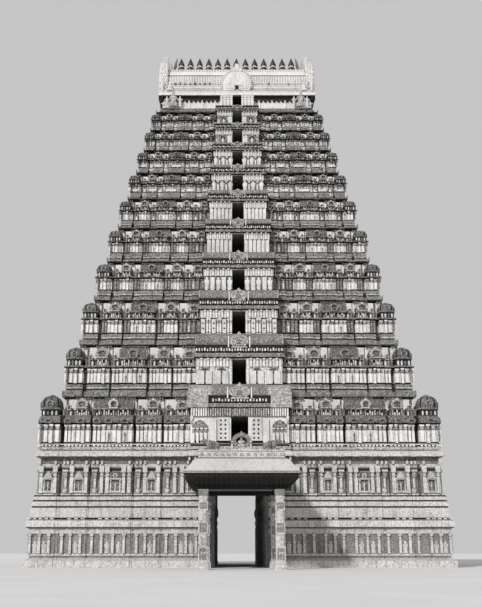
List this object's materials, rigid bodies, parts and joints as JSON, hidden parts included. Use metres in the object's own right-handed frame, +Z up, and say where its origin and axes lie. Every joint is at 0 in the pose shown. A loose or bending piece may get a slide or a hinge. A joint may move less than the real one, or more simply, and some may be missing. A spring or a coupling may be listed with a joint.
{
  "type": "gopuram scale model 1:2",
  "caption": "Tiered temple gateway tower with a gate passage, front porch, doored tiers and a vaulted roof with finials; half-size scale model.",
  "frame": {"origin": "on the ground, at the centre of the plan's bounding box, porch included", "axes": "+Z up, -Y towards the porch and the front, +X to the right seen from the front"},
  "size_m": [20.55, 19.75, 32.9873],
  "materials": {
    "granite": "weathered cut granite",
    "limewashed_plaster": "limewashed plaster on brick, streaked by rain",
    "weathered_plaster": "bare weathered plaster and brick, dark with lichen",
    "dark_metal": "tarnished copper"
  },
  "bodies": {
    "root": {"base_cornice": "granite", "base_wall_left": "granite", "base_wall_right": "granite", "gate_ceiling": "granite", "plinth_left": "granite", "plinth_right": "granite", "porch_beam_front": "granite", "porch_beam_rear": "granite", "porch_bull_left": "weathered_plaster", "porch_bull_right": "weathered_plaster", "porch_column_front_left": "granite", "porch_column_front_right": "granite", "porch_column_rear_left": "granite", "porch_column_rear_right": "granite", "porch_niche": "weathered_plaster", "porch_parapet": "granite", "porch_roof": "granite", "roof_arch_back": "limewashed_plaster", "roof_arch_front": "limewashed_plaster", "roof_eave": "limewashed_plaster", "roof_gable_left": "limewashed_plaster", "roof_gable_right": "limewashed_plaster", "roof_ridge": "dark_metal", "roof_vault": "limewashed_plaster", "tier_01_wall": "limewashed_plaster", "tier_02_floor": "weathered_plaster", "tier_02_wall": "limewashed_plaster", "tier_03_floor": "weathered_plaster", "tier_03_wall": "limewashed_plaster", "tier_04_floor": "weathered_plaster", "tier_04_wall": "limewashed_plaster", "tier_05_floor": "weathered_plaster", "tier_05_wall": "limewashed_plaster", "tier_06_floor": "weathered_plaster", "tier_06_wall": "limewashed_plaster", "tier_07_floor": "weathered_plaster", "tier_07_wall": "limewashed_plaster", "tier_08_floor": "weathered_plaster", "tier_08_wall": "limewashed_plaster", "tier_09_floor": "weathered_plaster", "tier_09_wall": "limewashed_plaster", "tier_10_floor": "weathered_plaster", "tier_10_wall": "limewashed_plaster", "tier_11_floor": "weathered_plaster", "tier_11_wall": "limewashed_plaster"}
  },
  "joints": []
}
